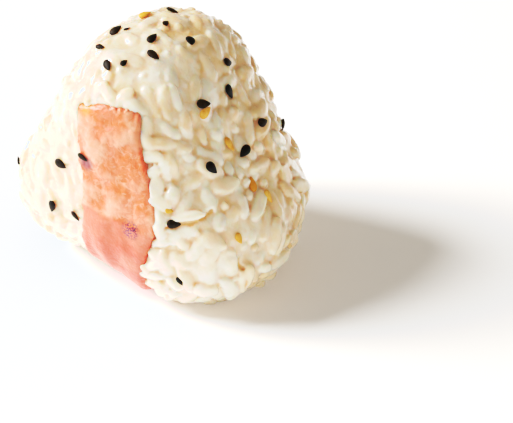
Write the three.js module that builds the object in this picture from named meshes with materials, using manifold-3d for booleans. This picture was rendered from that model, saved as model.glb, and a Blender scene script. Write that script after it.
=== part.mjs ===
// A triangular rice ball (onigiri) of pressed short-grain rice, with a strip of salmon let into its front
// face. Millimetres, +Z up. The origin is the middle of the base, the front face looks along -Y, and the
// ball stands on the flat base of its triangle.

import * as THREE from "three";
import { ImprovedNoise } from "three/addons/math/ImprovedNoise.js";
import { mergeVertices } from "three/addons/utils/BufferGeometryUtils.js";
import Module from "manifold-3d";

// The ball: a rounded triangle, seen from the front, that swells between two domed faces.
const CENTRE_HEIGHT = 25; // of the triangle's centre above the base
const BASE_REACH = 26.8; // centre to the base before it is pressed flat
const FLANK_REACH = 26.8; // centre to each sloping flank
const FLANK_TILT = THREE.MathUtils.degToRad(30.4); // of a flank's normal above the horizontal
const HALF_THICKNESS = 25.6;
const CORNER_BLEND = 1.77; // low is round, high is sharp
const RIM_POWER = 0.5; // how squarely the flanks run back from the rim
const DOME_POWER = 0.85; // how domed the front and the back are

// The pressed rice leaves an uneven outline: broad dents, and lumps of the size of a few grains.
const SKIN_DETAIL = 17; // subdivisions of each icosahedron edge
const DENT_SIZE = 21;
const DENT_DEPTH = 1.1;
const LUMP_SIZE = 5.5;
const LUMP_DEPTH = 1.3;
const NOISE_OFFSET = new THREE.Vector3(11.3, 4.7, 8.9);

// Where the hands left the ball fuller or thinner: each swell fades out round its place on the skin.
const SWELLS = [
  { place: new THREE.Vector3(-13, -20, 2), reach: 14, height: -5.2 }, // tucked in at the front, low down
  { place: new THREE.Vector3(4, -21, 2), reach: 8, height: -1.8 },
  { place: new THREE.Vector3(30, -2, 12), reach: 8, height: 2 }, // the heel of the right flank
];

// The salmon strip: from its top edge on the front face down, round the bottom edge and in under the base.
// Its length is told by a turn about the ball's long axis, from straight ahead, and its two long edges by
// their x at a share of that length.
const STRIP_TAIL_TURN = THREE.MathUtils.degToRad(-66); // the end under the base
const STRIP_TOP_LEFT_TURN = THREE.MathUtils.degToRad(45.5);
const STRIP_TOP_RIGHT_TURN = THREE.MathUtils.degToRad(49.5);
const STRIP_LEFT_EDGE = edgeCurve([0, -5], [0.25, -5], [0.5, -2.8], [0.74, -2], [1, -3.8]);
const STRIP_RIGHT_EDGE = edgeCurve([0, 9], [0.2, 11], [0.4, 13.4], [0.58, 16], [0.8, 13.2], [1, 9.8]);
const STRIP_DEPTH = 5;
const STRIP_PROUD = 0.4;
const STRIP_WAVE = 0.6;
const STRIP_WAVE_SIZE = 7;
const STRIP_STEPS_ACROSS = 12;
const STRIP_STEPS_ALONG = 30;
const POCKET_GAP = 0.3;
const POCKET_OVERSHOOT = 6; // how far the pocket's cutter stands out of the skin
const HALVINGS = 30; // to find the skin along a ray

const noise = new ImprovedNoise();
const wasm = await Module();
wasm.setup();

// A smooth edge through points of [share of the strip's length, x].
function edgeCurve(...points) {
  return new THREE.SplineCurve(points.map(([share, x]) => new THREE.Vector2(share, x)));
}

// Noise from about -1 to 1 at a point, for bumps about `size` across.
function bumpsAt(point, size) {
  const p = point.clone().divideScalar(size).add(NOISE_OFFSET);
  return noise.noise(p.x, p.y, p.z);
}

// Distance from the triangle's centre to its rounded outline, in the direction of an angle.
function outlineReach(angle) {
  const across = Math.cos(angle);
  const up = Math.sin(angle);
  const sides = [
    -up / BASE_REACH,
    (across * Math.cos(FLANK_TILT) + up * Math.sin(FLANK_TILT)) / FLANK_REACH,
    (-across * Math.cos(FLANK_TILT) + up * Math.sin(FLANK_TILT)) / FLANK_REACH,
  ];
  const sum = sides.reduce((total, side) => total + Math.max(0, side) ** CORNER_BLEND, 0);
  return sum ** (-1 / CORNER_BLEND);
}

// The smooth skin's point for a unit direction: longitude goes round the triangle, latitude from face to face.
function skinPoint(direction) {
  const angle = Math.atan2(direction.z, direction.x);
  const rim = Math.sqrt(Math.max(0, 1 - direction.y ** 2)) ** RIM_POWER;
  const reach = rim * outlineReach(angle);
  const y = Math.sign(direction.y) * Math.abs(direction.y) ** DOME_POWER * HALF_THICKNESS;
  return new THREE.Vector3(reach * Math.cos(angle), y, CENTRE_HEIGHT + reach * Math.sin(angle));
}

// Whether a point lies inside the smooth skin, above the base.
function isInside(point) {
  const latitude = Math.min(1, Math.abs(point.y) / HALF_THICKNESS) ** (1 / DOME_POWER);
  const rim = Math.sqrt(Math.max(0, 1 - latitude ** 2)) ** RIM_POWER;
  const up = point.z - CENTRE_HEIGHT;
  return point.z > 0 && Math.hypot(point.x, up) < rim * outlineReach(Math.atan2(up, point.x));
}

// Distance along a ray from a point inside to the smooth skin, by halving.
function distanceToSkin(start, direction) {
  let inner = 0;
  let outer = 2 * CENTRE_HEIGHT;
  for (let step = 0; step < HALVINGS; step += 1) {
    const middle = (inner + outer) / 2;
    if (isInside(start.clone().addScaledVector(direction, middle))) inner = middle;
    else outer = middle;
  }
  return inner;
}

// A point of the smooth skin, moved out or in by the swells near it.
function swollen(point) {
  const away = point.clone().setZ(point.z - CENTRE_HEIGHT).normalize();
  const height = SWELLS.reduce(
    (total, swell) => total + swell.height * Math.exp(-((swell.place.distanceTo(point) / swell.reach) ** 2)),
    0,
  );
  return point.clone().addScaledVector(away, height);
}

// Moves every vertex of a closed geometry by a function, and keeps it one closed surface.
function reshaped(geometry, move) {
  const closed = geometry.clone();
  closed.deleteAttribute("normal");
  closed.deleteAttribute("uv");
  const merged = mergeVertices(closed, 1e-4);
  const position = merged.getAttribute("position");
  const point = new THREE.Vector3();
  for (let i = 0; i < position.count; i += 1) {
    point.fromBufferAttribute(position, i);
    const moved = move(point);
    position.setXYZ(i, moved.x, moved.y, moved.z);
  }
  return merged;
}

function solidFrom(geometry) {
  const vertProperties = new Float32Array(geometry.getAttribute("position").array);
  const triVerts = new Uint32Array(geometry.index.array);
  return new wasm.Manifold(new wasm.Mesh({ numProp: 3, vertProperties, triVerts }));
}

function geometryFrom(solid) {
  const mesh = solid.getMesh();
  const geometry = new THREE.BufferGeometry();
  geometry.setAttribute("position", new THREE.BufferAttribute(mesh.vertProperties, 3));
  geometry.setIndex(new THREE.BufferAttribute(mesh.triVerts, 1));
  geometry.computeVertexNormals();
  return geometry;
}

// The whole ball, with its dents and lumps, pressed flat at the base.
function ballGeometry() {
  return reshaped(new THREE.IcosahedronGeometry(1, SKIN_DETAIL), (direction) => {
    direction.normalize();
    const point = swollen(skinPoint(direction));
    const dents = DENT_DEPTH * bumpsAt(point, DENT_SIZE);
    const lumps = LUMP_DEPTH * bumpsAt(point, LUMP_SIZE);
    point.addScaledVector(direction, dents + lumps);
    point.z = Math.max(0, point.z);
    return point;
  });
}

// A slab that follows the front skin, from a height outside it to a depth inside it, grown at its edges by
// `margin`. It is a box whose sides are bent round the ball's long axis.
function stripGeometry(margin, depth, height, wave) {
  const box = new THREE.BoxGeometry(1, 1, 1, STRIP_STEPS_ACROSS, STRIP_STEPS_ALONG, 1);
  const turnMargin = margin / HALF_THICKNESS;
  return reshaped(box, (place) => {
    const along = place.y + 0.5;
    const left = STRIP_LEFT_EDGE.getPoint(along).y - margin;
    const right = STRIP_RIGHT_EDGE.getPoint(along).y + margin;
    const topTurn = THREE.MathUtils.lerp(STRIP_TOP_LEFT_TURN, STRIP_TOP_RIGHT_TURN, place.x + 0.5);
    const turn = THREE.MathUtils.lerp(STRIP_TAIL_TURN - turnMargin, topTurn + turnMargin, along);
    const out = new THREE.Vector3(0, -Math.cos(turn), Math.sin(turn));
    const start = new THREE.Vector3(THREE.MathUtils.lerp(left, right, place.x + 0.5), 0, CENTRE_HEIGHT);
    const skin = swollen(start.clone().addScaledVector(out, distanceToSkin(start, out)));
    const point = skin.addScaledVector(out, place.z > 0 ? height : -depth);
    if (place.z > 0) point.addScaledVector(out, wave * bumpsAt(point, STRIP_WAVE_SIZE));
    return point;
  });
}

// The strip's slab, cut flat where it goes in under the base.
function stripSolid() {
  const slab = stripGeometry(0, STRIP_DEPTH, STRIP_PROUD, STRIP_WAVE);
  return solidFrom(reshaped(slab, (point) => point.setZ(Math.max(0, point.z))));
}

function pocketSolid() {
  return solidFrom(stripGeometry(POCKET_GAP, STRIP_DEPTH + POCKET_GAP, POCKET_OVERSHOOT, 0));
}

function riceBody() {
  const material = new THREE.MeshStandardMaterial({ color: 0xece2cf, roughness: 0.4, metalness: 0 });
  const mesh = new THREE.Mesh(geometryFrom(solidFrom(ballGeometry()).subtract(pocketSolid())), material);
  mesh.name = "rice_body";
  return mesh;
}

function salmonStrip() {
  const material = new THREE.MeshStandardMaterial({ color: 0xf7a283, roughness: 0.45, metalness: 0 });
  const mesh = new THREE.Mesh(geometryFrom(stripSolid()), material);
  mesh.name = "salmon_strip";
  return mesh;
}

const onigiri = new THREE.Group();
onigiri.add(riceBody(), salmonStrip());

// The origin goes to the middle of the base of the whole ball's box.
const extent = new THREE.Box3().setFromObject(onigiri);
const middle = extent.getCenter(new THREE.Vector3());
onigiri.position.set(-middle.x, -middle.y, -extent.min.z);

export default onigiri;
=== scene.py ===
import math

import bmesh
import bpy
import numpy as np
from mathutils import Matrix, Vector, noise
from mathutils.bvhtree import BVHTree
from mathutils.kdtree import KDTree


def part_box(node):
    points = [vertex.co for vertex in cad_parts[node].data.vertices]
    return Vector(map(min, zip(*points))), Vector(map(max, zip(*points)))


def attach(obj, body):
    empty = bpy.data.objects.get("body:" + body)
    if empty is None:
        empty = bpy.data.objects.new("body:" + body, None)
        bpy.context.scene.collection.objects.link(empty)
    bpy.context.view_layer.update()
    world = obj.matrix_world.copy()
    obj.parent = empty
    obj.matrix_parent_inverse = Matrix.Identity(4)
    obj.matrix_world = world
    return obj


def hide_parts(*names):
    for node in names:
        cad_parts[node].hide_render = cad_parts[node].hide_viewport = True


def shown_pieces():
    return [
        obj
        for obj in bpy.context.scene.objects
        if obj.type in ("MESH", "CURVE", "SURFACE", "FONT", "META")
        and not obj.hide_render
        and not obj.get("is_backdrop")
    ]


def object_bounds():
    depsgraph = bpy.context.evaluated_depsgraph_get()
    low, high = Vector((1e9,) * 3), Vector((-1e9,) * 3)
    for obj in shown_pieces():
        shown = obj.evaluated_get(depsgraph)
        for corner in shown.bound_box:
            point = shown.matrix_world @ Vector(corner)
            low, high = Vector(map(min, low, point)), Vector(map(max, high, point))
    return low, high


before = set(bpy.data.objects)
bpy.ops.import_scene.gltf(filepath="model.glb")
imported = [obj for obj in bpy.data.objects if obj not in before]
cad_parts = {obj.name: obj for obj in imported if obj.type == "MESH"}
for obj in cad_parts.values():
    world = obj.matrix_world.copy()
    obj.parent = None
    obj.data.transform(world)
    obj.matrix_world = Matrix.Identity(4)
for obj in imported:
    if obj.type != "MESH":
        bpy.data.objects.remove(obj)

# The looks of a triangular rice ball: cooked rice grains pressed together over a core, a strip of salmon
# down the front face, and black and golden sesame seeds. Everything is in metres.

MM = 0.001
cad_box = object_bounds()
BALL_LOW, BALL_HIGH = (np.array(corner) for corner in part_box("rice_body"))
BALL_HEIGHT = BALL_HIGH[2]

# Camera and light
VIEW_AZIMUTH = math.radians(36.8)
VIEW_ELEVATION = math.radians(29.7)
VIEW_DISTANCE = 450 * MM
VIEW_CENTRE = Vector((-0.65, 0, 27)) * MM
AIM_RIGHT = 22.0 * MM  # the ball stands left of and above the middle of the frame
AIM_DOWN = 14.4 * MM
LENS = 135.2  # mm, on a sensor 36 mm wide
KEY_DIRECTION = Vector((-0.775, -0.412, 0.66))  # from the left, a little in front
LIGHT_DISTANCE = 1.2
KEY_TINT = (1.0, 0.975, 0.94)
KEY_SIZE = 0.56  # across the disk, which sets how soft the shadow is
KEY_POWER = 38.0
FILL_DIRECTION = Vector((-0.2, -0.8, 0.75))
FILL_SIZE = 1.0
FILL_POWER = 6.5
FLOOR_KEY_POWER = 36.0  # of the light that shines on the floor alone and casts the shadow there
FLOOR_TINT = (1.0, 0.97, 0.93)
FLOOR_FILL_POWER = 7.5  # of the floor's second light, which casts no shadow
FLOOR_SIDE = 2.0
FLOOR_GREY = (0.9, 0.9, 0.9, 1)
WORLD_HORIZON = (0.58, 0.51, 0.41)
WORLD_ZENITH = (0.41, 0.36, 0.29)
ZENITH_RISE = 0.7  # the height of a direction from which on the sky has its zenith colour
# The camera's response: light in, picture tone out.
FILM_CURVE = [(0.2, 0.12), (0.4, 0.33), (0.7, 0.55), (1.0, 0.69), (1.3, 0.785), (1.6, 0.845), (2.0, 0.89),
              (2.3, 0.945), (2.6, 1.0), (3.2, 1.01)]

# Rice grains
GRAIN_LENGTH = 8.6 * MM
GRAIN_WIDTH = 3.9 * MM
GRAIN_THICKNESS = 3.2 * MM
ROD_RADIUS = 1.6 * MM  # of the balls that stand for a grain while it is packed
SQUEEZE_RADIUS = 1.62 * MM  # of the rods that press on a grain
ROD_BALLS = 4
SHELL_DEPTH = 7.5 * MM  # of the layer under the skin that is packed with grains
SHELL_FILL = 1.08  # grain volume in the shell, as a share of the shell's volume
SHELL_TRIES = 40000  # random places, of which those in the shell are used
GRAIN_FULLNESS = 0.62  # a grain's volume, as a share of its box
UPRIGHT_BIAS = 1.6  # above 1, the grains stand rather than lie
PACK_ROUNDS = 14
PACK_STEPS = 6
PACK_STIFFNESS = 0.45
PACK_CONTACT = 1.9 * ROD_RADIUS  # two balls of different rods push each other off from here
PACK_REACH = 0.8 * MM  # beyond contact, how far away neighbours are looked for
PACK_RISE = 0.04 * MM  # of every rod towards the skin, in one step
PROUD = 0.6 * MM  # how far, on average, a loosely packed grain may stand out of the skin
RING_POINTS = 20
RINGS = 16
SQUEEZE_SOFTNESS = 0.12 * MM
PRESSED_PROUD = 0.12  # mm that any grain may stand out of the skin, and more for loose and for laid ones
LOOSE_PROUD = 0.9
LAID_EXTRA_PROUD = 0.5
ABOVE_FLOOR = 0.02 * MM  # nothing comes lower than this
OUTER_DEPTH = 3.3 * MM  # grains with their middle deeper than this can't lie loose
LOOSE_SHARE = 0.10  # of the outer grains, where the rice is loosest
LOOSE_LIFT = 0.15 * MM
CORE_VOXEL = 0.32 * MM
CORE_TRIANGLES = 190000
CORE_SINK_PRESSED = 0.40 * MM  # how far the ball that fills the gaps between grains lies under the skin
CORE_SINK_LOOSE = 0.12 * MM  # and how much further where the rice is loose
CORE_ROUGHNESS = 0.09 * MM  # of the fine unevenness of the grains in the pressed mass
CORE_SHRINK = 0.86  # of the loose grains, where they are grown into the core as well
HOLLOW_ROUNDS = 16  # of smoothing, to tell the hollows between grains

# Most numbers in CORNER_GRAINS, CLEFTS, BLACK_SEEDS, GOLDEN_SEEDS, SPECKLE_PLACE and SMUDGE_PLACE weren't
# chosen by hand: a separate script cast points picked on the photo onto the CAD. Some were then rounded or
# moved.

# Grains set one by one where they stand out most, seen from the front right corner: how far right and how
# high, in mm, the heading, and the length and width as shares of a grain's.
CORNER_GRAINS = [
    (1, 50.5, -90, 1.0, 0.9), (3.5, 51, -87, 0.85, 0.65), (6, 45, -92, 0.9, 1.0),
    (9, 42, -88, 0.5, 0.45), (0.5, 43.5, -3, 0.8, 0.95), (4.5, 41.5, -15, 0.9, 0.9),
    (2, 45, -40, 0.7, 0.7), (0.8, 37, -86, 0.9, 1.0), (2, 38, -73, 0.75, 0.9),
    (6, 34, -142, 1.0, 1.2), (1.2, 30.5, -104, 0.85, 0.95), (10, 30, -79, 0.75, 0.85),
    (5, 28, 7, 1.0, 0.7), (0.5, 26.5, -71, 0.8, 0.8), (2.5, 23, 21, 1.1, 1.1),
    (10, 22.5, -30, 0.9, 1.0), (-0.5, 14, -82, 1.15, 1.15), (9, 13.5, -89, 1.5, 1.75),
    (2.5, 17, -18, 0.9, 1.25), (4.5, 11.5, -68, 0.95, 0.8), (15, 15, -71, 0.85, 1.0),
    (1.5, 9.5, -56, 0.8, 0.8),
]
CORNER_DIRECTION = (0.71, -0.71)
HEEL_DIRECTION = (0.8, 0.6)  # the back of the right flank, where the rice is loose as well
LAID_PROUD = 0.4 * MM  # how far a grain of CORNER_GRAINS stands out of the skin
RIM_GRAIN_STEP = 3.3 * MM  # between the grains that lap over the strip's top and right edges

# Clefts between the lumps at that corner: each runs through these places, in mm.
CLEFTS = [
    [(13.4, -24.9, 17.5), (13.8, -24.9, 20.3), (15.8, -24.6, 23), (17.9, -24, 25.1), (21.2, -22.1, 25.9),
     (24.2, -19.5, 26.5), (25.1, -16.2, 27.8)],
    [(30.9, -13.8, 15.4), (31.9, -12.8, 11.5), (32.4, -12.5, 6)],
]
CLEFT_STEPS = 12  # points along each stretch of a cleft
CLEFT_REACH = 0.6 * MM
CLEFT_DEPTH = 0.9 * MM

# From the dullest rice to the whitest, and a painted shade: tan in the hollows between grains, for the warm
# light that comes out of them
DULL = (0.84, 0.57, 0.32, 1)
CREAM = (0.92, 0.73, 0.51, 1)
MILKY = (0.95, 0.84, 0.68, 1)
SHADE_TAN = (0.82, 0.50, 0.22, 1)
SHADE_TAN_FROM = 0.02  # how deep a hollow is, in mm, where it starts to turn tan and where it is wholly tan
SHADE_TAN_TO = 0.34
PRESSED_LIGHT_DEPTH = 2.4 * MM  # how far light soaks into the pressed mass and into the thin loose grains
LOOSE_LIGHT_DEPTH = 1.0 * MM

# Salmon strip
STRIP_LOW, STRIP_HIGH = (np.array(corner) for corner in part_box("salmon_strip"))
STRIP_VOXEL = 0.42 * MM
STRIP_GROWTH = 0.8 * MM  # of its sides, into the rice
FOLD_HEIGHT = 25.5 * MM
FOLD_STEP = 0.5 * MM  # how far the part below the fold stands out
FLAKE_RELIEF = 0.55
CREASE_RELIEF = 0.6
SPECKLE_PLACE = (9.9 * MM, -25.8 * MM, 22.8 * MM)  # a purple speckled patch just under the fold
SMUDGE_PLACE = (-2.0 * MM, -25.8 * MM, 36.2 * MM)  # a purple smudge at the strip's left edge
AMBER_PLACE = (-3.2 * MM, -23.5 * MM, 48.4 * MM)  # an orange-yellow spot in the strip's top left corner
ORANGE = (0.74, 0.11, 0.025, 1)
PINK = (0.80, 0.16, 0.08, 1)
PALE = (0.90, 0.38, 0.25, 1)
SMOOTH_PINK = (0.70, 0.085, 0.042, 1)
DEEP_PINK = (0.64, 0.045, 0.024, 1)
AMBER = (0.82, 0.24, 0.05, 1)
PURPLE = (0.09, 0.018, 0.065, 1)

# Sesame seeds: two coordinates in mm on the side that they are dropped on, and the heading in that plane
SEED_LENGTH = 3.4 * MM
SEED_WIDTH = 1.95 * MM
SEED_THICKNESS = 0.95 * MM
SEED_SINK = 0.2  # share of its thickness that a seed sinks into the rice
SEED_MAX_SLOPE = 0.5
SEED_REST = 0.36  # where a seed's ends touch the rice, as a share of its length from its middle
SEED_WOBBLE = 0.1
BLACK_SEEDS = {
    "top": [(-2.5, 8.5, 63), (1.2, 0.7, 99, 0.7), (2.8, -6.4, 93), (5.4, -9.7, -8), (8.5, 0, -44),
            (-7.5, -6.1, 70), (-4.9, -5.4, 45, 0.5), (-6.5, -13.2, 3, 0.7), (-1.4, -17.2, -51, 0.95),
            (1.4, -15.1, 81, 0.6)],
    "right": [(7.1, 51.5, -24), (2.9, 46.8, -83), (-6.8, 48, -31), (7.5, 38.7, -12), (-1.2, 35.6, 204),
              (-12.7, 36.5, -61), (18.5, 32.5, -70)],
    "front": [(19.1, 25.9, 7), (21, 11.8, -49, 0.7), (-10.3, 32.7, -11, 1.1), (-13.9, 20.2, 257),
              (-6.4, 20.6, -23, 0.9), (-2.9, 37.4, -27, 0.8), (-27, 26, 84, 0.7)],
}
GOLDEN_SEEDS = {
    "top": [(-4.9, 1.4, 60)],
    "right": [(-7.5, 46.5, 20), (-4.2, 38, -83), (-2.7, 28.7, 85), (-13.2, 21, -72), (-0.8, 25.4, -80)],
    "front": [(18.2, 29.1, 0, 0.6)],
}
HIDDEN_BLACK_SEEDS = 20
HIDDEN_GOLDEN_SEEDS = 8
HIDDEN_FROM = -0.45  # a way out that faces the camera less than this is hidden from it
HIDDEN_LOWEST = -0.5
SEED_RINGS = 10
SEED_RING_POINTS = 16
BLACK_DARK = (0.002, 0.0015, 0.001, 1)
BLACK_LIGHT = (0.035, 0.018, 0.008, 1)
GOLDEN_DARK = (0.68, 0.28, 0.03, 1)
GOLDEN_LIGHT = (0.90, 0.56, 0.15, 1)

rng = np.random.default_rng(7)


# Which way a ray is shot at each side, and the two directions that a place's coordinates run in.
SIDES = {
    "top": (Vector((0, 0, -1)), Vector((1, 0, 0)), Vector((0, 1, 0))),
    "right": (Vector((-1, 0, 0)), Vector((0, 1, 0)), Vector((0, 0, 1))),
    "front": (Vector((0, 1, 0)), Vector((1, 0, 0)), Vector((0, 0, 1))),
    "corner": (Vector((-0.6, 0.8, 0)), Vector((0.8, 0.6, 0)), Vector((0, 0, 1))),
}
OUTSIDE = 0.2  # a ray starts this far from the middle


# ---------------------------------------------------------------------------------------------- helpers

def unit(vectors):
    return vectors / np.maximum(np.linalg.norm(vectors, axis=-1, keepdims=True), 1e-12)


def smoothstep(low, high, value):
    share = np.clip((value - low) / (high - low), 0, 1)
    return share * share * (3 - 2 * share)


class Skin:
    """The surface of some CAD nodes, to measure how far points are above or below it."""

    def __init__(self, *names):
        vertices = []
        faces = []
        for name in names:
            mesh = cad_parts[name].data
            start = len(vertices)
            vertices += [vertex.co.copy() for vertex in mesh.vertices]
            faces += [[start + index for index in face.vertices] for face in mesh.polygons]
        self.tree = BVHTree.FromPolygons(vertices, faces)

    def nearest(self, points):
        """The outward normals at the nearest skin points, and the heights above the skin."""
        found = [self.tree.find_nearest(point) for point in points.reshape(-1, 3).tolist()]
        spots = np.array([hit[0][:] for hit in found])
        normals = np.array([hit[1][:] for hit in found])
        offsets = points.reshape(-1, 3) - spots
        heights = np.linalg.norm(offsets, axis=1) * np.sign((offsets * normals).sum(1))
        return normals.reshape(points.shape), heights.reshape(points.shape[:-1])


def laid_on(tree, side, first, second, heading):
    """Where a thing put down on a side lands, which way is up from there, and where its heading points."""
    aim, across, along = SIDES[side]
    start = (across * first + along * second) * MM - aim * OUTSIDE
    place, normal, _, _ = tree.ray_cast(start, aim)
    turn = math.radians(heading)
    return place, normal, across * math.cos(turn) + along * math.sin(turn)


def flattened(direction, normal):
    """A direction turned flat on the surface with this normal."""
    return (direction - normal * direction.dot(normal)).normalized()


def set_attribute(mesh, key, values):
    layer = mesh.attributes.new(key, "FLOAT", "POINT")
    layer.data.foreach_set("value", np.asarray(values, np.float32).ravel())


def mesh_object(name, points, faces, attributes=None):
    mesh = bpy.data.meshes.new(name)
    mesh.from_pydata(points.reshape(-1, 3).tolist(), [], faces)
    for key, values in (attributes or {}).items():
        set_attribute(mesh, key, values)
    mesh.shade_smooth()
    piece = bpy.data.objects.new(name, mesh)
    bpy.context.scene.collection.objects.link(piece)
    return piece


def applied(piece):
    """Replaces a piece's mesh by what its modifiers make of it."""
    bpy.context.view_layer.update()
    depsgraph = bpy.context.evaluated_depsgraph_get()
    made = bpy.data.meshes.new_from_object(piece.evaluated_get(depsgraph))
    piece.modifiers.clear()
    piece.data = made
    made.shade_smooth()
    return piece


def remeshed(piece, voxel, smoothing):
    remesh = piece.modifiers.new("remesh", "REMESH")
    remesh.mode = "VOXEL"
    remesh.voxel_size = voxel
    smooth = piece.modifiers.new("smooth", "SMOOTH")
    smooth.factor = 0.5
    smooth.iterations = smoothing
    return applied(piece)


def thinned(piece, triangles):
    """Takes triangles out of a piece, where it is smoothest first, until it has no more than a number."""
    piece.data.calc_loop_triangles()
    decimate = piece.modifiers.new("thin", "DECIMATE")
    decimate.ratio = min(1.0, triangles / len(piece.data.loop_triangles))
    return applied(piece)


# ---------------------------------------------------------------------------------------------- packing

def corner_share(points):
    """1 at the front right corner to 0 on the flanks beside it."""
    return smoothstep(0.55, 0.9, unit(points[..., :2]) @ CORNER_DIRECTION)


def heel_share(points):
    """1 at the back of the right flank to 0 away from it."""
    return smoothstep(0.75, 0.97, unit(points[..., :2]) @ HEEL_DIRECTION)


def looseness(points):
    """1 where the grains stand out, low at the right corner and heel, to 0 where they are pressed smooth."""
    low = 1 - smoothstep(0.45 * BALL_HEIGHT, 0.85 * BALL_HEIGHT, points[..., 2])
    ahead = smoothstep(0, 0.5 * BALL_HIGH[1], -points[..., 1])
    left = smoothstep(-0.1 * BALL_HIGH[0], 0.25 * BALL_HIGH[0], -points[..., 0])
    loose = np.maximum(corner_share(points), heel_share(points))
    return low * (1 - 0.7 * ahead * left) * (0.55 + 0.45 * loose)


def scattered_rods(skin):
    """Random rods in the shell, enough to fill it."""
    size = BALL_HIGH - BALL_LOW
    tries = BALL_LOW + rng.random((SHELL_TRIES, 3)) * size
    heights = skin.nearest(tries)[1]
    inside = tries[(heights < 0) & (heights > -SHELL_DEPTH)]
    shell_volume = size.prod() * len(inside) / len(tries)
    grain_volume = GRAIN_FULLNESS * GRAIN_LENGTH * GRAIN_WIDTH * GRAIN_THICKNESS
    count = int(SHELL_FILL * shell_volume / grain_volume)
    return inside[:count], unit(rng.normal(size=(count, 3)) * [1, 1, UPRIGHT_BIAS])


ROD_STATIONS = np.linspace(-1, 1, ROD_BALLS) * (GRAIN_LENGTH / 2 - ROD_RADIUS)


def rod_balls(middles, headings):
    """The balls that each rod is made of, rod after rod."""
    return (middles[:, None] + ROD_STATIONS[:, None] * headings[:, None]).reshape(-1, 3)


def near_pairs(balls, owners, reach):
    """Pairs of balls of different rods that lie within reach."""
    tree = KDTree(len(balls))
    for index, ball in enumerate(balls.tolist()):
        tree.insert(ball, index)
    tree.balance()
    pairs = []
    for index, ball in enumerate(balls.tolist()):
        for _, other, _ in tree.find_range(ball, reach):
            if other > index and owners[other] != owners[index]:
                pairs.append((index, other))
    return np.array(pairs).T


def packed_rods(skin):
    """Grain middles and headings: rods pushed off each other and in under the skin until they settle."""
    middles, headings = scattered_rods(skin)
    count = len(middles)
    owners = np.repeat(np.arange(count), ROD_BALLS)
    proud = rng.exponential(PROUD, count)
    for _ in range(PACK_ROUNDS):
        balls = rod_balls(middles, headings)
        first, second = near_pairs(balls, owners, PACK_CONTACT + PACK_REACH)
        for _ in range(PACK_STEPS):
            balls = rod_balls(middles, headings)
            apart = balls[first] - balls[second]
            gap = np.linalg.norm(apart, axis=1)
            push = unit(apart) * (np.maximum(0, PACK_CONTACT - gap) * PACK_STIFFNESS)[:, None]
            moves = np.zeros_like(balls)
            np.add.at(moves, first, push)
            np.add.at(moves, second, -push)
            normals, heights = skin.nearest(balls)
            allowed = proud * looseness(middles)
            top = np.repeat(allowed, ROD_BALLS) - ROD_RADIUS
            moves -= normals * np.maximum(0, heights - top)[:, None]
            moves += normals * (PACK_RISE * (heights > -SHELL_DEPTH))[:, None]
            moves += normals * np.maximum(0, -SHELL_DEPTH - heights)[:, None] * 0.5
            moves = moves.reshape(count, ROD_BALLS, 3)
            arms = ROD_STATIONS[:, None] * headings[:, None]
            turn = np.cross(arms, moves).sum(1) / (ROD_STATIONS ** 2).sum()
            middles = middles + moves.mean(1)
            headings = unit(headings + np.cross(turn, headings))
    return middles, headings


def corner_rods(skin):
    """The grains of CORNER_GRAINS: their middles, headings and sizes."""
    rods = []
    for right, up, heading, length, width in CORNER_GRAINS:
        place, normal, direction = laid_on(skin.tree, "corner", right, up, heading)
        middle = place - normal * (GRAIN_THICKNESS * width / 2 - LAID_PROUD)
        rods.append((middle, flattened(direction, normal), (length, width)))
    return rods


def strip_rim():
    """Points along the strip's top edge and down its right edge, and the way off the strip from each."""
    tree = Skin("salmon_strip").tree
    step = 0.3 * MM
    rim = []
    for x in np.arange(STRIP_LOW[0] + 4 * MM, STRIP_HIGH[0] - 4 * MM, RIM_GRAIN_STEP):
        column = [tree.ray_cast((x, -OUTSIDE, z), (0, 1, 0))[0] for z in np.arange(0, STRIP_HIGH[2], step)]
        rim.append(([hit for hit in column if hit][-1], Vector((0, 0, 1))))
    for z in np.arange(8 * MM, STRIP_HIGH[2] - 3 * MM, RIM_GRAIN_STEP):
        row = [tree.ray_cast((x, -OUTSIDE, z), (0, 1, 0))[0] for x in np.arange(0, STRIP_HIGH[0], step)]
        rim.append(([hit for hit in row if hit][-1], Vector((1, 0, 0))))
    return rim


def rim_rods(skin):
    """Grains that lap over the strip's rim here and there: their middles, headings and sizes."""
    rods = []
    for point, off in strip_rim():
        normal = Vector(skin.nearest(np.array(point))[0])
        away = flattened(off, normal)
        middle = point + away * rng.uniform(1.4, 3.0) * MM - normal * rng.uniform(0.9, 1.6) * MM
        heading = flattened(Vector(rng.normal(size=3)), normal)
        rods.append((middle, heading, (rng.uniform(0.6, 0.95), rng.uniform(0.65, 0.95))))
    return rods


def with_laid(middles, headings, laid):
    """All rods, with room made for the laid ones, which come last."""
    laid_middles, laid_headings, laid_sizes = (np.array(values) for values in zip(*laid))
    away = np.linalg.norm(middles[:, None] - laid_middles[None], axis=2)
    kept = (away > 0.7 * GRAIN_WIDTH * laid_sizes[None, :, 1]).all(1)
    sizes = np.vstack([np.ones((kept.sum(), 2)), laid_sizes])
    is_laid = np.arange(len(sizes)) >= kept.sum()
    middles = np.vstack([middles[kept], laid_middles])
    headings = np.vstack([headings[kept], laid_headings])
    return middles, headings, sizes, is_laid


# ---------------------------------------------------------------------------------------------- grains

def grain_faces():
    """Faces of one grain: rings of points between two end points, which come last."""
    faces = []
    for ring in range(RINGS - 1):
        for point in range(RING_POINTS):
            here = ring * RING_POINTS + point
            after = ring * RING_POINTS + (point + 1) % RING_POINTS
            faces.append((here, here + RING_POINTS, after + RING_POINTS, after))
    tail = RINGS * RING_POINTS
    last = (RINGS - 1) * RING_POINTS
    for point in range(RING_POINTS):
        after = (point + 1) % RING_POINTS
        faces.append((point, after, tail))
        faces.append((last + after, last + point, tail + 1))
    return faces


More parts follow.
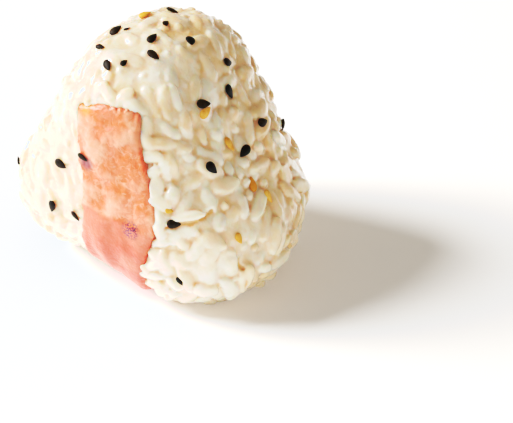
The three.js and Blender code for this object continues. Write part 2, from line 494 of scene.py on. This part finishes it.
def grain_shape(kind):
    """Points of one grain about its middle: x along it, y across, z through its thickness."""
    length = GRAIN_LENGTH * kind["length"] * rng.normal(1, 0.05)
    width = GRAIN_WIDTH * rng.normal(1, 0.06)
    thickness = GRAIN_THICKNESS * rng.normal(1, 0.06)
    share = np.sin(np.linspace(-1, 1, RINGS + 2)[1:-1] * math.pi / 2)[:, None]
    angle = np.arange(RING_POINTS)[None] * 2 * math.pi / RING_POINTS
    swell = (1 - np.abs(share) ** kind["bluntness"]) ** 0.5 * (1 - kind["taper"] * share)
    swell = swell * (1 + 0.05 * np.sin(3.1 * share + rng.uniform(0, 6)))
    ridges = 1 + 0.02 * np.cos(4 * angle + rng.uniform(0, 6))
    x = np.broadcast_to(share * length / 2, (RINGS, RING_POINTS))
    y = swell * ridges * np.cos(angle) * width / 2
    z = swell * ridges * np.sin(angle) * thickness / 2
    notch = kind["notch"] * np.exp(-(((share - 0.72) / 0.22) ** 2)) * np.maximum(0, np.cos(angle)) ** 2
    y = y - notch
    points = np.stack([x, y, z], -1).reshape(-1, 3)
    ends = np.array([[-length / 2, 0, 0], [length / 2, 0, 0]])
    points = np.vstack([points, ends])
    bend = kind["bend"] * rng.normal(1, 0.3)
    points[:, 1] += bend * ((2 * points[:, 0] / length) ** 2 - 0.33)
    for _ in range(3):
        wave = unit(rng.normal(size=3)) * 2 * math.pi / (3.4 * MM)
        phase = rng.uniform(0, 2 * math.pi)
        points[:, 1:] *= 1 + 0.03 * np.sin(points @ wave + phase)[:, None]
    return points


GRAIN_KINDS = {
    "rice_grains_whole": {"share": 0.42, "length": 1.0, "bluntness": 2.5, "taper": 0.0, "notch": 0.3 * MM,
                          "bend": 0.25 * MM},
    "rice_grains_bent": {"share": 0.22, "length": 1.04, "bluntness": 2.4, "taper": 0.06, "notch": 0.15 * MM,
                         "bend": 0.75 * MM},
    "rice_grains_tapered": {"share": 0.24, "length": 1.02, "bluntness": 2.1, "taper": 0.16,
                            "notch": 0.45 * MM, "bend": 0.3 * MM},
    "rice_grains_broken": {"share": 0.12, "length": 0.68, "bluntness": 3.2, "taper": -0.1,
                           "notch": 0.1 * MM, "bend": 0.1 * MM},
}


def grain_frames(headings, normals):
    """A turn for each grain: its length along the heading, its flat side towards the skin."""
    upright = normals - headings * (normals * headings).sum(1, keepdims=True)
    upright = unit(upright + 0.25 * rng.normal(size=normals.shape))
    across = unit(np.cross(upright, headings))
    upright = np.cross(headings, across)
    return np.stack([headings, across, upright], 1)


def squeezed(points, heading, middle, neighbours):
    """Flattens a grain where the neighbouring rods press on it."""
    reach = GRAIN_LENGTH / 2 - ROD_RADIUS
    own_along = np.clip((points - middle) @ heading, -reach, reach)
    own_axis = middle + own_along[:, None] * heading
    inward = unit(own_axis - points)
    for other_middle, other_heading in neighbours:
        along = np.clip((points - other_middle) @ other_heading, -reach, reach)
        distance = np.linalg.norm(points - other_middle - along[:, None] * other_heading, axis=1)
        overlap = (SQUEEZE_RADIUS - distance) / SQUEEZE_SOFTNESS
        press = SQUEEZE_SOFTNESS * np.log1p(np.exp(np.clip(overlap, -20, 20)))
        points = points + inward * (0.5 * press)[:, None]
    return points


def shaped_grains(skin, middles, headings, sizes, is_laid):
    """All grains' points, squeezed between their neighbours unless laid, with the kind of each."""
    normals = skin.nearest(middles)[0]
    turns = grain_frames(headings, normals)
    names = list(GRAIN_KINDS)
    kinds = rng.choice(len(names), len(middles), p=[GRAIN_KINDS[name]["share"] for name in names])
    tree = KDTree(len(middles))
    for index, middle in enumerate(middles.tolist()):
        tree.insert(middle, index)
    tree.balance()
    grains = []
    for index, middle in enumerate(middles):
        length, width = sizes[index]
        shape = grain_shape(GRAIN_KINDS[names[kinds[index]]]) * [length, width, width]
        points = middle + shape @ turns[index]
        near = [other for _, other, _ in tree.find_range(middle.tolist(), GRAIN_LENGTH) if other != index]
        neighbours = [] if is_laid[index] else [(middles[other], headings[other]) for other in near]
        grains.append(squeezed(points, headings[index], middle, neighbours))
    return np.array(grains), np.array([names[kind] for kind in kinds])


def pressed(grains, skin, is_laid):
    """Presses down what stands out above the skin; gives the grains and their points' heights above it."""
    normals, heights = skin.nearest(grains)
    limit = (PRESSED_PROUD + LOOSE_PROUD * looseness(grains) + LAID_EXTRA_PROUD * is_laid[:, None]) * MM
    kept_heights = np.where(heights > 0, limit * np.tanh(heights / limit), heights)
    grains = grains - normals * (heights - kept_heights)[..., None]
    grains[..., 2] = np.maximum(grains[..., 2], ABOVE_FLOOR)
    return grains, kept_heights


def joined_faces(count, points_each):
    faces = []
    for start in range(0, count * points_each, points_each):
        faces += [tuple(start + corner for corner in face) for face in grain_faces()]
    return faces


def loose_grains(grains, heights, kinds, material):
    """The grains that lie free on the core, one piece for each kind."""
    for name in GRAIN_KINDS:
        chosen = grains[kinds == name]
        # Painted shade: a loose grain turns tan where it sinks into the core.
        hollow_shade = 0.25 * (-heights[kinds == name] / MM - 1.0)
        shade = np.repeat(0.2 + 0.6 * rng.random(len(chosen)), chosen.shape[1])
        faces = joined_faces(*chosen.shape[:2])
        piece = mesh_object(name, chosen, faces, {"grain_tone_and_lit_corner": shade, "hollow_shade": hollow_shade})
        piece.data.materials.append(material)
        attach(piece, "root")


def welded(mesh):
    """A CAD mesh's points, normals and faces with the points that faces share made one."""
    work = bmesh.new()
    work.from_mesh(mesh)
    bmesh.ops.remove_doubles(work, verts=work.verts, dist=0.001 * MM)
    work.normal_update()
    points = np.array([vertex.co[:] for vertex in work.verts])
    normals = np.array([vertex.normal[:] for vertex in work.verts])
    faces = [tuple(vertex.index for vertex in face.verts) for face in work.faces]
    work.free()
    return points, normals, faces


def hollowness(mesh):
    """How deep each point lies in a hollow between grains: how far it rises when the mesh is smoothed."""
    points = np.array([vertex.co[:] for vertex in mesh.vertices])
    normals = np.array([vertex.normal[:] for vertex in mesh.vertices])
    edges = np.array([edge.vertices[:] for edge in mesh.edges])
    count = np.bincount(edges.ravel(), minlength=len(points))[:, None]
    smooth = points
    for _ in range(HOLLOW_ROUNDS):
        total = np.zeros_like(points)
        np.add.at(total, edges[:, 0], smooth[edges[:, 1]])
        np.add.at(total, edges[:, 1], smooth[edges[:, 0]])
        smooth = 0.5 * smooth + 0.5 * total / count
    return ((smooth - points) * normals).sum(1)


def cleft_share(points):
    """1 along the clefts to 0 away from them."""
    ways = []
    for cleft in CLEFTS:
        for start, end in zip(cleft, cleft[1:]):
            shares = [step / CLEFT_STEPS for step in range(CLEFT_STEPS + 1)]
            ways += [Vector(start).lerp(Vector(end), share) * MM for share in shares]
    away = np.min([np.linalg.norm(points - np.array(way), axis=1) for way in ways], axis=0)
    return np.exp(-((away / CLEFT_REACH) ** 2))


def rice_core(grains, middles, headings, material):
    """The pressed mass: the grains grown together with a ball a little smaller than the whole."""
    points, normals, faces = welded(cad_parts["rice_body"].data)
    points = points - normals * (CORE_SINK_PRESSED + CORE_SINK_LOOSE * looseness(points))[:, None]
    start = len(points)
    faces += [tuple(start + corner for corner in face) for face in joined_faces(*grains.shape[:2])]
    core = mesh_object("rice_core", np.vstack([points, grains.reshape(-1, 3)]), faces)
    thinned(remeshed(core, CORE_VOXEL, 1), CORE_TRIANGLES)
    places = np.array([vertex.co[:] for vertex in core.data.vertices])
    outward = np.array([vertex.normal[:] for vertex in core.data.vertices])
    rough = noise_at(places, 1.5 * MM) + 0.5 * noise_at(places, 0.7 * MM, 3.0)
    cleft = cleft_share(places)
    places = places + outward * (CORE_ROUGHNESS * rough - CLEFT_DEPTH * cleft * (1 + 0.6 * rough))[:, None]
    places[:, 2] = np.maximum(places[:, 2], ABOVE_FLOOR)
    core.data.vertices.foreach_set("co", places.ravel())
    core.data.update()
    balls = rod_balls(middles, headings)
    tree = KDTree(len(balls))
    for index, ball in enumerate(balls.tolist()):
        tree.insert(ball, index // ROD_BALLS)
    tree.balance()
    # Each grain's tone: partly random, partly painted light that makes the grains at the lit front right
    # corner whiter.
    tones_and_lit_corner = 0.6 * rng.random(len(middles)) + 0.4 * corner_share(middles)
    nearest = [tree.find(place)[1] for place in places.tolist()]
    # Painted shade: tan by how deep a point lies in a hollow, and more along the clefts.
    set_attribute(core.data, "hollow_shade", hollowness(core.data) / MM + 0.15 * cleft)
    set_attribute(core.data, "grain_tone_and_lit_corner", tones_and_lit_corner[nearest])
    core.data.materials.append(material)
    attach(core, "root")
    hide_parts("rice_body")


# ---------------------------------------------------------------------------------------------- salmon

def noise_at(points, size, shift=0.0):
    """Smooth noise from -1 to 1, with bumps about `size` across."""
    offset = Vector((shift, 2 * shift, -shift))
    return np.array([noise.noise(Vector(point) / size + offset) for point in points])


def below_fold(points):
    """0 on the flaky upper part to 1 below the fold, which runs across the strip."""
    x = points[:, 0] - STRIP_LOW[0]
    fold = FOLD_HEIGHT - 0.12 * x + 0.8 * MM * noise_at(points, 5 * MM, 3.0)
    return smoothstep(-0.7 * MM, 0.7 * MM, fold - points[:, 2])


def salmon_slice():
    """The CAD slab, grown a little into the rice at its sides, with soft flakes and a fold on its face."""
    points, _, faces = welded(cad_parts["salmon_strip"].data)
    strip = mesh_object("salmon_slice", points, faces)
    remeshed(strip, STRIP_VOXEL, 4)
    points = np.array([vertex.co[:] for vertex in strip.data.vertices])
    normals = np.array([vertex.normal[:] for vertex in strip.data.vertices])
    outward = unit(points * [0, 1, 1] - [0, 0, 0.41 * BALL_HEIGHT])
    facing = smoothstep(0.3, 0.8, (normals * outward).sum(1))
    lower = below_fold(points)
    flakes = noise_at(points, 6 * MM) + 0.5 * noise_at(points, 2.5 * MM, 7.0)
    flakes = flakes + 0.25 * noise_at(points, 1.1 * MM, 5.0)
    creases = noise_at(points * [1, 1, 0.35], 4 * MM, 9.0)
    relief = MM * (FLAKE_RELIEF * flakes * (1 - 0.7 * lower) + CREASE_RELIEF * creases * lower)
    relief = relief + FOLD_STEP * lower
    sides = STRIP_GROWTH * (1 - facing) * (1 + 0.8 * noise_at(points, 3 * MM, 11.0))
    points = points + normals * (relief * facing + sides)[:, None]
    points[:, 2] = np.maximum(points[:, 2], ABOVE_FLOOR)
    strip.data.vertices.foreach_set("co", points.ravel())
    strip.data.update()
    set_attribute(strip.data, "lower", lower)
    set_attribute(strip.data, "raised", flakes)
    here_and_there = smoothstep(-0.2, 0.4, noise_at(points, 4 * MM, 13.0))
    # A painted highlight: a pale line here and there along the fold's lip.
    set_attribute(strip.data, "fold_highlight", 4 * lower * (1 - lower) * here_and_there)
    strip.data.materials.append(salmon_material())
    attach(strip, "root")
    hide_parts("salmon_strip")


# ---------------------------------------------------------------------------------------------- seeds

def seed_faces():
    faces = []
    for ring in range(SEED_RINGS - 1):
        for point in range(SEED_RING_POINTS):
            here = ring * SEED_RING_POINTS + point
            after = ring * SEED_RING_POINTS + (point + 1) % SEED_RING_POINTS
            faces.append((here, here + SEED_RING_POINTS, after + SEED_RING_POINTS, after))
    faces.append(tuple(range(SEED_RING_POINTS)))
    last = (SEED_RINGS - 1) * SEED_RING_POINTS
    faces.append(tuple(last + point for point in reversed(range(SEED_RING_POINTS))))
    return faces


def seed_shape(scale):
    """A flat teardrop about its middle: x from the round end to the point, z through its thickness."""
    share = np.cos(np.linspace(0.97, 0.03, SEED_RINGS) * math.pi)[:, None]
    angle = np.arange(SEED_RING_POINTS)[None] * 2 * math.pi / SEED_RING_POINTS
    swell = np.sqrt(1 - share ** 2) * (1 - 0.42 * share - 0.16 * share ** 2)
    rim = 1 + 0.05 * np.cos(2 * angle)
    x = np.broadcast_to(share * SEED_LENGTH / 2, (SEED_RINGS, SEED_RING_POINTS))
    y = swell * rim * np.cos(angle) * SEED_WIDTH / 2
    z = swell * np.sin(angle) * SEED_THICKNESS / 2
    return np.stack([x, y, z], -1).reshape(-1, 3) * scale * rng.normal(1, 0.05, 3)


def surface_tree():
    """All that the seeds can lie on, for rays."""
    depsgraph = bpy.context.evaluated_depsgraph_get()
    vertices = []
    faces = []
    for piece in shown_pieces():
        mesh = piece.evaluated_get(depsgraph).data
        start = len(vertices)
        vertices += [vertex.co.copy() for vertex in mesh.vertices]
        faces += [[start + index for index in face.vertices] for face in mesh.polygons]
    return BVHTree.FromPolygons(vertices, faces)


def shown_spots(tree, seeds):
    """Places, headings and sizes of the seeds in BLACK_SEEDS or GOLDEN_SEEDS."""
    for side, places in seeds.items():
        for first, second, heading, *size in places:
            place, _, direction = laid_on(tree, side, first, second, heading)
            yield place, direction, size[0] if size else 1.0


def hidden_spots(tree, count):
    """Random places on the sides turned away from the camera."""
    seen = Vector((math.sin(VIEW_AZIMUTH), -math.cos(VIEW_AZIMUTH), 0.2))
    found = 0
    while found < count:
        out = Vector(unit(rng.normal(size=3)))
        if out.dot(seen) > HIDDEN_FROM or out.z < HIDDEN_LOWEST:
            continue
        centre = Vector((0, 0, 0.42 * BALL_HEIGHT))
        hit = tree.ray_cast(centre + out * OUTSIDE, -out)[0]
        if hit is None or hit.z < 3 * MM:
            continue
        found += 1
        yield hit, Vector(rng.normal(size=3)), rng.uniform(0.85, 1.1)


def height_above(tree, place, normal):
    """How far above a place, along the normal, the surface lies."""
    start = place + normal * SEED_LENGTH
    hit = tree.ray_cast(start, -normal, 2 * SEED_LENGTH)[0]
    return 0.0 if hit is None else (hit - place).dot(normal)


def seated(tree, place, normal, ahead, size):
    """A seed's middle, heading and upright, when its two ends rest on what lies under them."""
    reach = SEED_REST * SEED_LENGTH * size
    front = height_above(tree, place + ahead * reach, normal)
    back = height_above(tree, place - ahead * reach, normal)
    middle = height_above(tree, place, normal)
    slope = max(-SEED_MAX_SLOPE, min(SEED_MAX_SLOPE, (front - back) / (2 * reach)))
    level = max(middle, (front + back) / 2)
    tilted_ahead = (ahead + normal * slope).normalized()
    upright = (normal - ahead * slope).normalized()
    return place + upright * (level + SEED_THICKNESS * size * (0.5 - SEED_SINK)), tilted_ahead, upright


def sesame(name, spots, tree, material):
    """One joined piece of seeds, each lying on the rice with its flat side down."""
    shapes = []
    tones_and_lit_corner = []
    for place, heading, size in spots:
        normal = Vector(ball_skin.nearest(np.array(place))[0])
        normal = (normal + Vector(rng.normal(0, SEED_WOBBLE, 3))).normalized()
        middle, ahead, upright = seated(tree, place, normal, flattened(heading, normal), size)
        turn = np.array([ahead, upright.cross(ahead), upright])
        shapes.append(np.array(middle) + seed_shape(size) @ turn)
        tones_and_lit_corner.append(rng.random())
    faces = []
    for index in range(len(shapes)):
        start = index * len(shapes[0])
        faces += [tuple(start + corner for corner in face) for face in seed_faces()]
    shade = np.repeat(tones_and_lit_corner, len(shapes[0]))
    piece = mesh_object(name, np.array(shapes), faces, {"seed_shade": shade})
    subdivision = piece.modifiers.new("smooth", "SUBSURF")
    subdivision.levels = 1
    subdivision.render_levels = 1
    applied(piece)
    piece.data.materials.append(material)
    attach(piece, "root")


# ---------------------------------------------------------------------------------------------- materials

def new_material(name):
    material = bpy.data.materials.new(name)
    material.use_nodes = True
    tree = material.node_tree
    return material, tree, tree.nodes["Principled BSDF"]


def add(tree, kind, **settings):
    node = tree.nodes.new(kind)
    for key, value in settings.items():
        if key in node.inputs:
            node.inputs[key].default_value = value
        else:
            setattr(node, key, value)
    return node


def mixed(tree, factor, first, second):
    """A colour mix; each colour is a fixed colour or an output."""
    node = add(tree, "ShaderNodeMix", data_type="RGBA")
    for socket, value in zip((node.inputs[0], node.inputs[6], node.inputs[7]), (factor, first, second)):
        if isinstance(value, bpy.types.NodeSocket):
            tree.links.new(value, socket)
        else:
            socket.default_value = value
    return node.outputs[2]


def rice_material(name, light_depth):
    """Cooked rice: light soaks in and comes out warm, and a painted tan shade fills the hollows between
    grains.
    """
    material, tree, shader = new_material(name)
    shade = add(tree, "ShaderNodeAttribute", attribute_name="grain_tone_and_lit_corner")
    hollow_shade = add(tree, "ShaderNodeAttribute", attribute_name="hollow_shade")
    place = add(tree, "ShaderNodeTexCoord")
    patch = add(tree, "ShaderNodeTexNoise", Scale=150.0, Detail=2.0)
    cloud = add(tree, "ShaderNodeTexNoise", Scale=420.0, Detail=3.0)
    fine = add(tree, "ShaderNodeTexNoise", Scale=1000.0, Detail=4.0)
    for texture in (patch, cloud, fine):
        tree.links.new(place.outputs["Object"], texture.inputs["Vector"])
    # Painted shade: the hollows turn tan.
    painted_shade = ramp(tree, hollow_shade.outputs["Fac"], SHADE_TAN_FROM, SHADE_TAN_TO)
    cream = mixed(tree, ramp(tree, shade.outputs["Fac"], 0.0, 0.5), DULL, CREAM)
    clouded = mixed(tree, ramp(tree, cloud.outputs["Fac"], 0.50, 0.75), cream, MILKY)
    patched = mixed(tree, ramp(tree, patch.outputs["Fac"], 0.45, 0.70, 0.0, 0.8), clouded, DULL)
    # The whitest tones, at the front right corner, are partly painted light.
    milky = mixed(tree, ramp(tree, shade.outputs["Fac"], 0.5, 0.9), patched, MILKY)
    colour = mixed(tree, painted_shade, milky, SHADE_TAN)
    tree.links.new(colour, shader.inputs["Base Color"])
    shader.subsurface_method = "RANDOM_WALK"
    shader.inputs["Subsurface Weight"].default_value = 1.0
    shader.inputs["Subsurface Radius"].default_value = (1.0, 0.65, 0.4)
    shader.inputs["Subsurface Scale"].default_value = light_depth
    tree.links.new(ramp(tree, cloud.outputs["Fac"], 0.3, 0.7, 0.22, 0.42), shader.inputs["Roughness"])
    shader.inputs["IOR"].default_value = 1.4
    shader.inputs["Coat Weight"].default_value = 1.0
    shader.inputs["Coat Roughness"].default_value = 0.08
    bump = add(tree, "ShaderNodeBump", Strength=0.45, Distance=0.0003)
    tree.links.new(fine.outputs["Fac"], bump.inputs["Height"])
    tree.links.new(bump.outputs["Normal"], shader.inputs["Normal"])
    return material


def near_place(tree, position, place, inner, outer):
    """1 within `inner` of a place on the object, falling to 0 at `outer`."""
    away = add(tree, "ShaderNodeVectorMath", operation="DISTANCE")
    tree.links.new(position, away.inputs[0])
    away.inputs[1].default_value = place
    fade = add(tree, "ShaderNodeMapRange", interpolation_type="SMOOTHSTEP")
    tree.links.new(away.outputs["Value"], fade.inputs["Value"])
    for socket, value in zip(("From Min", "From Max", "To Min", "To Max"), (inner, outer, 1.0, 0.0)):
        fade.inputs[socket].default_value = value
    return fade.outputs["Result"]


def ramp(tree, value, low, high, start=0.0, end=1.0):
    """A value's way from `start` where the input is `low` to `end` where it is `high`."""
    node = add(tree, "ShaderNodeMapRange")
    tree.links.new(value, node.inputs["Value"])
    for socket, bound in zip(("From Min", "From Max", "To Min", "To Max"), (low, high, start, end)):
        node.inputs[socket].default_value = bound
    return node.outputs["Result"]


def product(tree, first, second):
    node = add(tree, "ShaderNodeMath", operation="MULTIPLY")
    for socket, value in zip(node.inputs, (first, second)):
        if isinstance(value, bpy.types.NodeSocket):
            tree.links.new(value, socket)
        else:
            socket.default_value = value
    return node.outputs["Value"]


def salmon_material():
    """Orange flesh with soft pale patches and fibres above the fold, smoother and deeper pink below it, and
    a painted highlight: a pale line along the fold's lip.
    """
    material, tree, shader = new_material("salmon_flesh")
    place = add(tree, "ShaderNodeTexCoord").outputs["Object"]
    split = add(tree, "ShaderNodeSeparateXYZ")
    tree.links.new(place, split.inputs[0])
    patches = add(tree, "ShaderNodeTexNoise", Scale=160.0, Detail=4.0, Distortion=0.8)
    fibres = add(tree, "ShaderNodeTexNoise", Scale=420.0, Detail=5.0, Distortion=2.0)
    grain = add(tree, "ShaderNodeTexNoise", Scale=1500.0, Detail=3.0)
    specks = add(tree, "ShaderNodeTexNoise", Scale=2600.0, Detail=1.0)
    for texture in (patches, fibres, grain, specks):
        tree.links.new(place, texture.inputs["Vector"])
    lower = add(tree, "ShaderNodeAttribute", attribute_name="lower").outputs["Fac"]
    raised = add(tree, "ShaderNodeAttribute", attribute_name="raised").outputs["Fac"]
    fold_highlight = add(tree, "ShaderNodeAttribute", attribute_name="fold_highlight").outputs["Fac"]
    flesh = mixed(tree, ramp(tree, patches.outputs["Fac"], 0.40, 0.60), ORANGE, PINK)
    flesh = mixed(tree, product(tree, ramp(tree, raised, 0.0, 0.5), 0.7), flesh, PALE)
    pale = product(tree, ramp(tree, fibres.outputs["Fac"], 0.50, 0.72), 0.6)
    flesh = mixed(tree, pale, flesh, PALE)
    smooth = mixed(tree, ramp(tree, split.outputs["Z"], 0.022, 0.004), SMOOTH_PINK, DEEP_PINK)
    smooth = mixed(tree, product(tree, ramp(tree, patches.outputs["Fac"], 0.4, 0.7), 0.25), smooth, PALE)
    flesh = mixed(tree, lower, flesh, smooth)
    flesh = mixed(tree, product(tree, fold_highlight, 0.8), flesh, PALE)
    flesh = mixed(tree, near_place(tree, place, AMBER_PLACE, 0.2 * MM, 2.4 * MM), flesh, AMBER)
    speckle = near_place(tree, place, SPECKLE_PLACE, 1.4 * MM, 2.8 * MM)
    speckle = product(tree, speckle, ramp(tree, specks.outputs["Fac"], 0.48, 0.54))
    flesh = mixed(tree, speckle, flesh, PURPLE)
    smudge = near_place(tree, place, SMUDGE_PLACE, 0.6 * MM, 2.6 * MM)
    flesh = mixed(tree, product(tree, smudge, 0.75), flesh, PURPLE)
    tree.links.new(flesh, shader.inputs["Base Color"])
    shader.inputs["Subsurface Weight"].default_value = 0.6
    shader.inputs["Subsurface Radius"].default_value = (1.0, 0.35, 0.2)
    shader.inputs["Subsurface Scale"].default_value = 1.5 * MM
    tree.links.new(ramp(tree, fibres.outputs["Fac"], 0.3, 0.7, 0.5, 0.34), shader.inputs["Roughness"])
    shader.inputs["Coat Weight"].default_value = 0.2
    shader.inputs["Coat Roughness"].default_value = 0.25
    bump = add(tree, "ShaderNodeBump", Strength=0.5, Distance=0.0004)
    tree.links.new(grain.outputs["Fac"], bump.inputs["Height"])
    tree.links.new(bump.outputs["Normal"], shader.inputs["Normal"])
    return material


def seed_material(name, dark, light):
    """A seed coat with fine lengthwise streaks and a satin sheen."""
    material, tree, shader = new_material(name)
    place = add(tree, "ShaderNodeTexCoord").outputs["Object"]
    streaks = add(tree, "ShaderNodeTexNoise", Scale=1300.0, Detail=4.0)
    tree.links.new(place, streaks.inputs["Vector"])
    shade = add(tree, "ShaderNodeAttribute", attribute_name="seed_shade").outputs["Fac"]
    tint = product(tree, shade, ramp(tree, streaks.outputs["Fac"], 0.3, 0.7))
    tree.links.new(mixed(tree, tint, dark, light), shader.inputs["Base Color"])
    tree.links.new(ramp(tree, streaks.outputs["Fac"], 0.3, 0.7, 0.36, 0.5), shader.inputs["Roughness"])
    shader.inputs["Specular IOR Level"].default_value = 0.15
    bump = add(tree, "ShaderNodeBump", Strength=0.4, Distance=0.0001)
    tree.links.new(streaks.outputs["Fac"], bump.inputs["Height"])
    tree.links.new(bump.outputs["Normal"], shader.inputs["Normal"])
    return material


# ---------------------------------------------------------------------------------------------- stage

def place_camera():
    level = math.cos(VIEW_ELEVATION)
    ahead = math.cos(VIEW_AZIMUTH)
    aside = math.sin(VIEW_AZIMUTH)
    back = Vector((aside * level, -ahead * level, math.sin(VIEW_ELEVATION)))
    right = Vector((ahead, aside, 0))
    up = back.cross(right)
    data = bpy.data.cameras.new("camera")
    data.lens = LENS
    data.sensor_width = 36.0
    camera = bpy.data.objects.new("camera", data)
    bpy.context.scene.collection.objects.link(camera)
    camera.location = VIEW_CENTRE + back * VIEW_DISTANCE
    aim = VIEW_CENTRE + right * AIM_RIGHT - up * AIM_DOWN
    camera.rotation_euler = (aim - camera.location).to_track_quat("-Z", "Y").to_euler()
    bpy.context.scene.camera = camera


def disk_light(name, direction, size, power, tint):
    """A round soft light that shines on the rice ball from a direction."""
    data = bpy.data.lights.new(name, "AREA")
    data.shape = "DISK"
    data.size = size
    data.energy = power
    data.color = tint
    light = bpy.data.objects.new(name, data)
    light.location = VIEW_CENTRE + direction.normalized() * LIGHT_DISTANCE
    light.rotation_euler = direction.to_track_quat("Z", "Y").to_euler()
    bpy.context.scene.collection.objects.link(light)
    return light


def light_stage(floor):
    """A key, a weak front fill and a soft sky, and two lights that burn out the floor alone to white."""
    disk_light("key", KEY_DIRECTION, KEY_SIZE, KEY_POWER, KEY_TINT)
    front_fill = disk_light("front_fill", FILL_DIRECTION, FILL_SIZE, FILL_POWER, KEY_TINT)
    floor_key = disk_light("floor_key", KEY_DIRECTION, KEY_SIZE, FLOOR_KEY_POWER, FLOOR_TINT)
    floor_fill = disk_light("floor_fill", KEY_DIRECTION, KEY_SIZE, FLOOR_FILL_POWER, FLOOR_TINT)
    floor_fill.data.use_shadow = False
    only_floor = bpy.data.collections.new("only_floor")
    only_floor.objects.link(floor)
    all_but_floor = bpy.data.collections.new("all_but_floor")
    all_but_floor.objects.link(floor)
    all_but_floor.collection_objects[0].light_linking.link_state = "EXCLUDE"
    floor_key.light_linking.receiver_collection = only_floor
    floor_fill.light_linking.receiver_collection = only_floor
    front_fill.light_linking.receiver_collection = all_but_floor
    world = bpy.data.worlds.new("studio")
    bpy.context.scene.world = world
    world.use_nodes = True
    tree = world.node_tree
    background = tree.nodes["Background"]
    place = add(tree, "ShaderNodeTexCoord")
    split = add(tree, "ShaderNodeSeparateXYZ")
    tree.links.new(place.outputs["Generated"], split.inputs[0])
    rise = ramp(tree, split.outputs["Z"], 0.0, ZENITH_RISE)
    colour = mixed(tree, rise, (*WORLD_HORIZON, 1), (*WORLD_ZENITH, 1))
    tree.links.new(colour, background.inputs["Color"])
    background.inputs["Strength"].default_value = 1.0


def film_response():
    """The response of a camera: darker tones are held down and the highlights roll off."""
    view = bpy.context.scene.view_settings
    view.view_transform = "Standard"
    view.use_curve_mapping = True
    curves = view.curve_mapping
    curves.clip_max_x, curves.clip_max_y = FILM_CURVE[-1]
    response = curves.curves[3]
    response.points[1].location = FILM_CURVE[-1]
    for point in FILM_CURVE[:-1]:
        response.points.new(*point)
    curves.update()


def lay_floor():
    corners = [(-1, -1, 0), (1, -1, 0), (1, 1, 0), (-1, 1, 0)]
    floor = mesh_object("floor", FLOOR_SIDE * np.array(corners), [(0, 1, 2, 3)])
    material, _, shader = new_material("floor")
    shader.inputs["Base Color"].default_value = FLOOR_GREY
    shader.inputs["Roughness"].default_value = 0.7
    shader.inputs["Specular IOR Level"].default_value = 0.2
    floor.data.materials.append(material)
    floor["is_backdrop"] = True
    return floor


place_camera()
light_stage(lay_floor())
film_response()

rice_skin = Skin("rice_body")
ball_skin = Skin("rice_body", "salmon_strip")
laid = corner_rods(ball_skin) + rim_rods(ball_skin)
middles, headings, sizes, is_laid = with_laid(*packed_rods(rice_skin), laid)
grains, kinds = shaped_grains(ball_skin, middles, headings, sizes, is_laid)
outward, depths = ball_skin.nearest(middles)
can_be_loose = (depths > -OUTER_DEPTH) & ~is_laid
loose = can_be_loose & (rng.random(len(middles)) < LOOSE_SHARE * looseness(middles))
flush = np.where(loose[:, None, None], middles[:, None] + (grains - middles[:, None]) * CORE_SHRINK, grains)
lift = (0.3 + rng.random(len(middles))) * LOOSE_LIFT
lifted = grains + (outward * lift[:, None])[:, None]
cooked_rice = rice_material("cooked_rice", PRESSED_LIGHT_DEPTH)
rice_core(pressed(flush, ball_skin, is_laid)[0], middles, headings, cooked_rice)
free, heights = pressed(lifted[loose], ball_skin, is_laid[loose])
loose_grains(free, heights, kinds[loose], rice_material("loose_rice", LOOSE_LIGHT_DEPTH))
salmon_slice()
surface = surface_tree()
black = [*shown_spots(surface, BLACK_SEEDS), *hidden_spots(surface, HIDDEN_BLACK_SEEDS)]
golden = [*shown_spots(surface, GOLDEN_SEEDS), *hidden_spots(surface, HIDDEN_GOLDEN_SEEDS)]
black_coat = seed_material("black_coat", BLACK_DARK, BLACK_LIGHT)
golden_coat = seed_material("golden_coat", GOLDEN_DARK, GOLDEN_LIGHT)
sesame("black_sesame", black, surface, black_coat)
sesame("golden_sesame", golden, surface, golden_coat)

boxes = {"cad": cad_box, "visual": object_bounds()}
{key: [list(corner) for corner in box] for key, box in boxes.items()}
